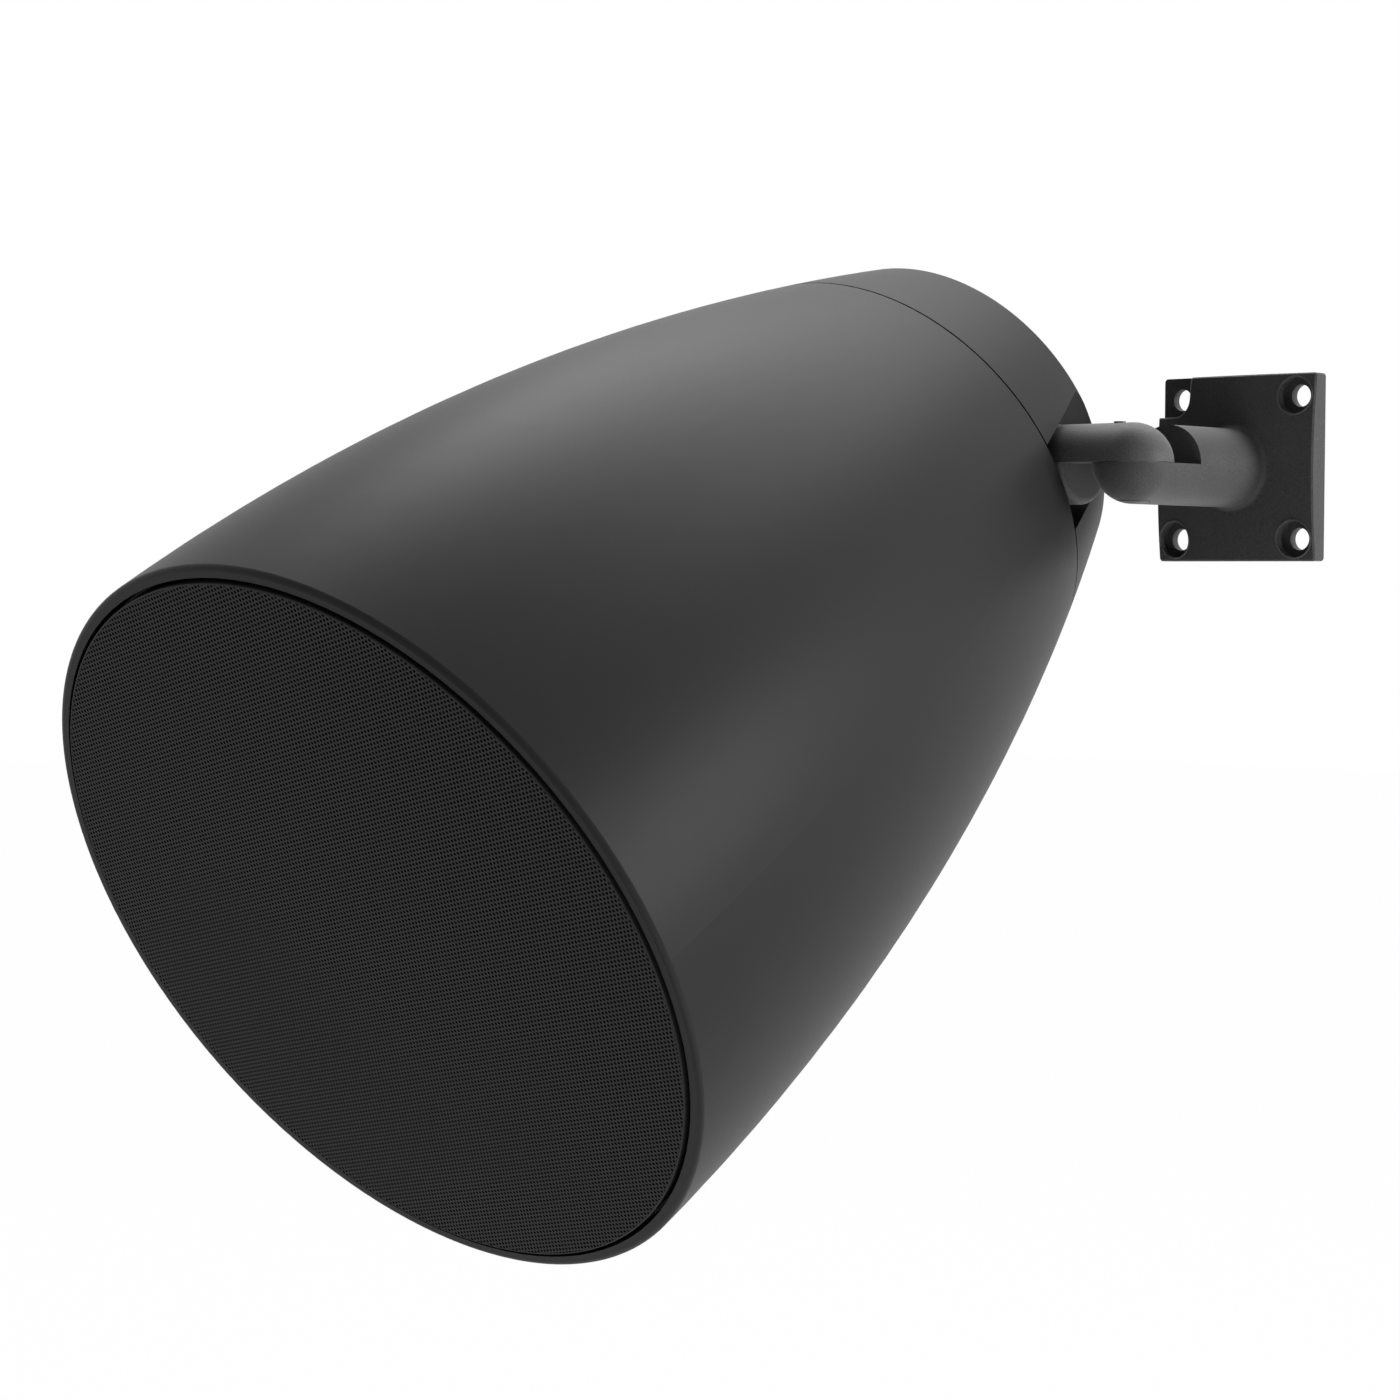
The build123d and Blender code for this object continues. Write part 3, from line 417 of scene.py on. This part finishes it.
# %% Each solid gets the finish of its slot
for entry in frame["record"]["subparts"]:
    solid = frame["nodes"][entry["node"]]
    solid.data.materials.clear()
    solid.data.materials.append(finishes[entry["material_slot"]])

# %% [markdown]
# ## Helpers for new pieces
# A piece is modelled flat in a bmesh, moved to the head's place in its mesh, and linked with its
# finish and the body that it rides on. Its object then stays at the origin, unturned and unscaled,
# as a solid's does. Moving the object instead would be quicker to write, but its pattern would
# turn with it.

# %% From a bmesh to a riding piece
def settle(name, mesh_work):
    """Turns finished bmesh work into a mesh."""
    mesh = bpy.data.meshes.new(name)
    mesh_work.to_mesh(mesh)
    mesh_work.free()
    return mesh


def add_piece(name, mesh_work, slot, body="head", smooth=True, place=head_place):
    """Carries a bmesh to its place, and makes it a piece that rides on a body."""
    bmesh.ops.transform(mesh_work, matrix=place, verts=mesh_work.verts)
    mesh = settle(name, mesh_work)
    mesh.polygons.foreach_set("use_smooth", [smooth] * len(mesh.polygons))
    mesh.materials.append(finishes[slot])
    piece = put_in_scene(name, mesh)
    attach(piece, body)
    return piece


def spin_round(mesh_work, parts, steps, angle=2 * pi):
    """Turns corners and edges round the z axis; a full turn is merged where it meets itself."""
    return bmesh.ops.spin(
        mesh_work, geom=parts, cent=(0, 0, 0), axis=(0, 0, 1), angle=angle, steps=steps,
        use_merge=angle == 2 * pi, use_duplicate=False,
    )


def corners_among(parts):
    """The corners in an operator's result."""
    return [part for part in parts if isinstance(part, bmesh.types.BMVert)]


def edges_among(parts):
    """The edges in an operator's result."""
    return [part for part in parts if isinstance(part, bmesh.types.BMEdge)]


print("helpers ready")

# %% [markdown]
# ## The perforated grille
# The real grille is a sheet of steel, punched with about twenty thousand round holes in staggered
# rows, then pressed into a shallow pan. A boolean for each hole would take hours. A sheared and
# triangulated grid already has its corners on the staggered pattern, so one bevel of its corners
# opens a six-sided face at each, and deleting those faces leaves the holes. The rows run about
# fourteen degrees off level, as on the real one.

# %% Punch the sheet
PITCH = 0.00147
HOLE_RADIUS = 0.00050
GRILLE_TOP = 0.0008
GRILLE_RADIUS = 0.1107
BEND = 0.0004
SHEET_RADIUS = GRILLE_RADIUS - BEND
ROW_TURN = radians(13.8)
ROW_ANGLE = radians(30)
GRID_REACH = 2.1 * SHEET_RADIUS  # far enough for the sheared grid to cover the sheet
SPARE = 2 * PITCH  # whole cells are kept beyond the sheet, so that every hole inside opens

sheet = bmesh.new()
count = int(2 * GRID_REACH / PITCH)
bmesh.ops.create_grid(sheet, x_segments=count, y_segments=count, size=count * PITCH / 2)
stagger = Matrix(((1, sin(ROW_ANGLE), 0), (0, cos(ROW_ANGLE), 0), (0, 0, 1))).to_4x4()
row_turn = Matrix.Rotation(ROW_TURN, 4, "Z")
bmesh.ops.transform(sheet, matrix=row_turn @ stagger, verts=sheet.verts)
outside = [corner for corner in sheet.verts if corner.co.length > SHEET_RADIUS + SPARE]
bmesh.ops.delete(sheet, geom=outside, context="VERTS")
bmesh.ops.triangulate(sheet, faces=sheet.faces, quad_method="SHORT_EDGE")
inside = [corner for corner in sheet.verts if not corner.is_boundary]
opened = bmesh.ops.bevel(
    sheet, geom=inside, offset=HOLE_RADIUS, offset_type="OFFSET", affect="VERTICES",
    segments=1, profile=0.5, material=-1,
)
holes = [face for face in opened["faces"] if face.is_valid and len(face.verts) == 6]
hole_middle = holes[0].calc_center_median()
hole_reach = max((corner.co - hole_middle).length for corner in holes[0].verts)
bmesh.ops.delete(sheet, geom=holes, context="FACES")
print("holes:", len(holes), "from middle to corner in mm:", round(MM_PER_METRE * hole_reach, 3))

# %% [markdown]
# The punched sheet is still ragged. A real blank is cut round after punching, straight through the
# outer holes, so the webs that lie wholly outside are deleted, and the corners that are left over
# are drawn in to the circle.

# %% Trim the sheet round
beyond = [
    face for face in sheet.faces if all(corner.co.length > SHEET_RADIUS for corner in face.verts)
]
bmesh.ops.delete(sheet, geom=beyond, context="FACES")
for corner in sheet.verts:
    reach = corner.co.length
    if reach > SHEET_RADIUS:
        corner.co *= SHEET_RADIUS / reach
print("webs left:", len(sheet.faces))

# %% [markdown]
# The pressed edge of the pan has no holes. It could be a ring that is extruded again and again,
# but one open outline, turned round the axis, shows its whole section at once: a narrow flat band,
# a rolled corner and a skirt that goes down beside the baffle. The punched sheet lies a hair under
# the band, so its cut border is hidden.

# %% Turn the pressed edge and join it to the sheet
BAND_WIDTH = 0.0001
UNDER_BAND = 0.00003
SKIRT_END = -0.0078
BEND_STEPS = 6
EDGE_STEPS = 240
FLAT = 0.9  # the least z in a flat face's normal

bmesh.ops.translate(sheet, vec=(0, 0, GRILLE_TOP - UNDER_BAND), verts=sheet.verts)
outline = [(GRILLE_RADIUS, SKIRT_END)]
for step in range(BEND_STEPS, -1, -1):
    turn = pi / 2 * step / BEND_STEPS
    outline.append((SHEET_RADIUS + BEND * sin(turn), GRILLE_TOP - BEND + BEND * cos(turn)))
outline.append((SHEET_RADIUS - BAND_WIDTH, GRILLE_TOP))
corners = [sheet.verts.new((radius, 0, height)) for radius, height in outline]
edges = [sheet.edges.new(pair) for pair in zip(corners, corners[1:])]
spin_round(sheet, corners + edges, EDGE_STEPS)
bmesh.ops.recalc_face_normals(sheet, faces=sheet.faces)
facing = sum(face.normal.z for face in sheet.faces if abs(face.normal.z) > FLAT)
if facing < 0:
    bmesh.ops.reverse_faces(sheet, faces=sheet.faces)
grille = add_piece("grille_perforated", sheet, "grille_coat", smooth=False)
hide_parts("grille")
print("grille faces:", len(grille.data.polygons))

# %% [markdown]
# ## The cloth behind the grille
# A thin black cloth is stretched behind the sheet, so that the holes look black and dust stays
# out. One flat face would do for the picture. A disc of small triangles can also sag a fifth of a
# millimetre in its middle, as a stretched cloth does, and the finish adds the threads.

# %% Stretch the cloth
CLOTH_RADIUS = 0.1102
CLOTH_DROP = 0.0012
CLOTH_SAG = 0.0002

cloth_mesh = bmesh.new()
bmesh.ops.create_circle(
    cloth_mesh, cap_ends=True, cap_tris=True, segments=96, radius=CLOTH_RADIUS
)
bmesh.ops.subdivide_edges(cloth_mesh, edges=cloth_mesh.edges, cuts=5, use_grid_fill=True)
for corner in cloth_mesh.verts:
    reach = corner.co.length / CLOTH_RADIUS
    corner.co.z = GRILLE_TOP - CLOTH_DROP - CLOTH_SAG * (1 - reach * reach)
cloth = add_piece("acoustic_cloth", cloth_mesh, "cloth")
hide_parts("grille_cloth")
print("cloth faces:", len(cloth.data.polygons))

# %% [markdown]
# ## The plug under the joint
# The bolt of the swivel comes up from below, and its deep recess is closed by a thin plug that
# follows the round of the stem: a ball in front of the bolt and a straight bar behind it. A piece
# could be cut from a ball and a bar, but a disc of small triangles is enough: each of its corners
# is dropped onto the stem, and a short wall goes up into the recess from its border.

# %% Close the bolt's recess
STEM_RADIUS = 0.0125
PLUG_RADIUS = 0.0051
PLUG_WALL = 0.0006

plug_mesh = bmesh.new()
bmesh.ops.create_circle(plug_mesh, cap_ends=True, cap_tris=True, segments=48, radius=PLUG_RADIUS)
bmesh.ops.subdivide_edges(plug_mesh, edges=plug_mesh.edges, cuts=3, use_grid_fill=True)
border = [edge for edge in plug_mesh.edges if edge.is_boundary]
for corner in plug_mesh.verts:
    forward = min(corner.co.y, 0)
    corner.co.z = -((STEM_RADIUS**2 - corner.co.x**2 - forward**2) ** 0.5)
wall = bmesh.ops.extrude_edge_only(plug_mesh, edges=border)
bmesh.ops.translate(plug_mesh, vec=(0, 0, PLUG_WALL), verts=corners_among(wall["geom"]))
bmesh.ops.translate(plug_mesh, vec=(0, pivot.y, 0), verts=plug_mesh.verts)
bmesh.ops.recalc_face_normals(plug_mesh, faces=plug_mesh.faces)
if min(plug_mesh.faces, key=lambda face: face.calc_center_median().z).normal.z > 0:
    bmesh.ops.reverse_faces(plug_mesh, faces=plug_mesh.faces)
plug = add_piece("pan_bolt_plug", plug_mesh, "bracket_coat", body="bracket", place=Matrix())
print("plug faces:", len(plug.data.polygons))

# %% [markdown]
# ## Rolled edges on the plate
# The counterbores are cut after casting, and each cut leaves a small rounded lip that catches the
# light. Bevelling the plate would change a solid's own mesh, so a lip is a thin ring that lies on
# it: a small circle is spun round the screw's place, and each of its corners is then laid on the
# crown of the plate. The lips take the arm's paler paint, not the plate's own, so besides their
# real rounding they carry a painted highlight along the edges of the recesses.

# %% A lip's section, and its way onto the crown
LIP_RADIUS = 0.00028
LIP_SIDES = 8
LIP_STEPS = 48
LIP_END = 0.0064
BORE_RADIUS, SCREW_PLACE = 0.006, 0.0225
CROWN_RADIUS, CROWN_TOP = 0.235, 0.009


def lip_section(mesh_work):
    """The corners and the edges of the lip's small circle, upright at the edge of the bore."""
    drawn = bmesh.ops.create_circle(mesh_work, segments=LIP_SIDES, radius=LIP_RADIUS)["verts"]
    stand_up = Matrix.Translation((BORE_RADIUS, 0, 0)) @ Matrix.Rotation(pi / 2, 4, "X")
    bmesh.ops.transform(mesh_work, matrix=stand_up, verts=drawn)
    return drawn, [edge for edge in mesh_work.edges if edge.verts[0] in drawn]


def lay_on_crown(lip_corners, x_place, z_place):
    """Carries a lip from the plane of the drawing to a screw's place on the crowned plate."""
    for corner in lip_corners:
        x, z = corner.co.x + x_place, corner.co.y + z_place
        crown = CROWN_TOP - CROWN_RADIUS + (CROWN_RADIUS**2 - x * x - z * z) ** 0.5
        corner.co = (x, -crown - corner.co.z, z)


print("crown of the plate in mm:", MM_PER_METRE * CROWN_TOP)

# %% [markdown]
# Three of the recesses are round, and their lips are full rings. They could be copies of one ring,
# but the plate is crowned, so each lies a little differently and is laid by itself.

# %% Roll the lips of the three round recesses
lips = bmesh.new()
for side, height in ((1, 1), (1, -1), (-1, -1)):
    laid = set(lips.verts)
    drawn, edges = lip_section(lips)
    spin_round(lips, drawn + edges, LIP_STEPS)
    lay_on_crown(set(lips.verts) - laid, side * SCREW_PLACE, height * SCREW_PLACE)
print("faces of the round lips:", len(lips.faces))

# %% [markdown]
# The recess in the upper left corner is open to both edges of the plate. Its lip is a quarter of a
# ring, and the two open ends are drawn out straight to the edges and closed.

# %% Roll the lip of the open recess
laid = set(lips.verts)
drawn, edges = lip_section(lips)
quarter = spin_round(lips, drawn + edges, LIP_STEPS // 4, -pi / 2)
last_edges = edges_among(quarter["geom_last"])
for end_edges, move in ((edges, (0, LIP_END, 0)), (last_edges, (-LIP_END, 0, 0))):
    straight = bmesh.ops.extrude_edge_only(lips, edges=end_edges)["geom"]
    bmesh.ops.translate(lips, vec=move, verts=corners_among(straight))
    open_end = [edge for edge in edges_among(straight) if edge.is_boundary]
    bmesh.ops.contextual_create(lips, geom=open_end)
lay_on_crown(set(lips.verts) - laid, -SCREW_PLACE, SCREW_PLACE)
bmesh.ops.recalc_face_normals(lips, faces=lips.faces)
# The paler arm paint on the lips is a painted highlight on the plate's darker coat.
lip_highlight_piece = add_piece("plate_edge_lips_with_painted_highlight", lips, "arm_coat", body="bracket", place=Matrix())
print("lip faces:", len(lip_highlight_piece.data.polygons))

# %% [markdown]
# ## Floor and sky
# The photograph is a product shot on white. More lamps would whiten the background, but they would
# bleach the paint too. So the Light Path node tells the rays apart: the camera and the reflections
# see plain white, and the light on the object comes from a softer sky and a pale floor, which
# keeps its shadow.

# %% Which rays see plain white
def plainly_seen(start):
    """1 for rays from the camera, a reflection or glass, and 0 for those that only bring light."""
    camera_ray, mirror_ray, glass_ray = (
        start.node("ShaderNodeLightPath", {}, f"Is {kind} Ray")
        for kind in ("Camera", "Glossy", "Transmission")
    )
    return start.sum("MINIMUM", camera_ray + mirror_ray + glass_ray, 1.0)


def show_surface(surface, output, spare):
    """Shows a mixed surface instead of the shader that a new tree starts with."""
    surface.tree.nodes.remove(surface.tree.nodes[spare])
    surface.tree.links.new(surface.socket, surface.tree.nodes[output].inputs["Surface"])


print("background helpers ready")

# %% A pale floor
FLOOR_REACH, FLOOR_HEIGHT = 6, -0.46
FLOOR_WHITE = 0.992
PALE, WHITE = (0.95, 0.95, 0.95, 1), (1, 1, 1, 1)

floor_work = bmesh.new()
bmesh.ops.create_grid(floor_work, x_segments=1, y_segments=1, size=FLOOR_REACH)
bmesh.ops.translate(floor_work, vec=(0, 0, FLOOR_HEIGHT), verts=floor_work.verts)
floor = put_in_scene("floor", settle("floor", floor_work))

floor_paint = bpy.data.materials.new("floor")
floor_paint.use_nodes = True
start = Wire(floor_paint.node_tree)
shaded = 1 - FLOOR_WHITE * plainly_seen(start)
matt = start.node("ShaderNodeBsdfDiffuse", {"Color": PALE})
glow = start.node("ShaderNodeEmission", {"Color": WHITE, "Strength": 1.0})
floor_mix = start.node("ShaderNodeMixShader", {0: shaded, 1: glow, 2: matt})
show_surface(floor_mix, "Material Output", "Principled BSDF")
floor.data.materials.append(floor_paint)
print("floor height in m:", FLOOR_HEIGHT)

# %% [markdown]
# The sky is mixed in the same way, from two backgrounds. A bright sky would be simpler, but it
# would light the housing flatly from all sides, so the one that gives the light is much darker
# than the one that is seen.

# %% A white sky
SKY_LIGHT = 0.09

world = bpy.data.worlds.new("white sky")
bpy.context.scene.world = world
world.use_nodes = True
start = Wire(world.node_tree)
soft = start.node("ShaderNodeBackground", {"Color": WHITE, "Strength": SKY_LIGHT})
plain = start.node("ShaderNodeBackground", {"Color": WHITE, "Strength": 1.0})
sky_mix = start.node("ShaderNodeMixShader", {0: plainly_seen(start), 1: soft, 2: plain})
show_surface(sky_mix, "World Output", "Background")
print("light of the sky:", SKY_LIGHT)

# %% [markdown]
# ## Lamps
# A studio lights a dark object with large soft boxes, because its paint shows them as long, mild
# highlights, and a small lamp would be a hard spot. A long box above and a weaker one near the
# floor draw the highlights along the top and the underside, and a third, to the right and behind,
# lights the arm and the edge of the wall plate.

# %% Soft boxes above, below and to the right
def soft_box(name, place, aim, size, watts):
    """A rectangular lamp that points at a spot."""
    data = bpy.data.lights.new(name, "AREA")
    data.shape = "RECTANGLE"
    data.size, data.size_y = size
    data.energy = watts
    lamp = put_in_scene(name, data)
    lamp.location = place
    lamp.rotation_euler = (Vector(aim) - Vector(place)).to_track_quat("-Z", "Y").to_euler()


soft_box("top box", (-0.25, 0.40, 0.95), (-0.05, -0.15, 0), (1.4, 0.5), 10.5)
soft_box("low box", (0.25, -0.25, -0.45), (0.0, -0.12, 0), (0.7, 0.3), 1.2)
soft_box("right box", (1.15, 0.50, 0.20), (0, -0.03, 0), (0.5, 0.6), 12)

# %% [markdown]
# ## The view
# The colours should render about as they are written, so the view is Standard with nothing else
# changed.

# %% View
bpy.context.scene.view_settings.view_transform = "Standard"
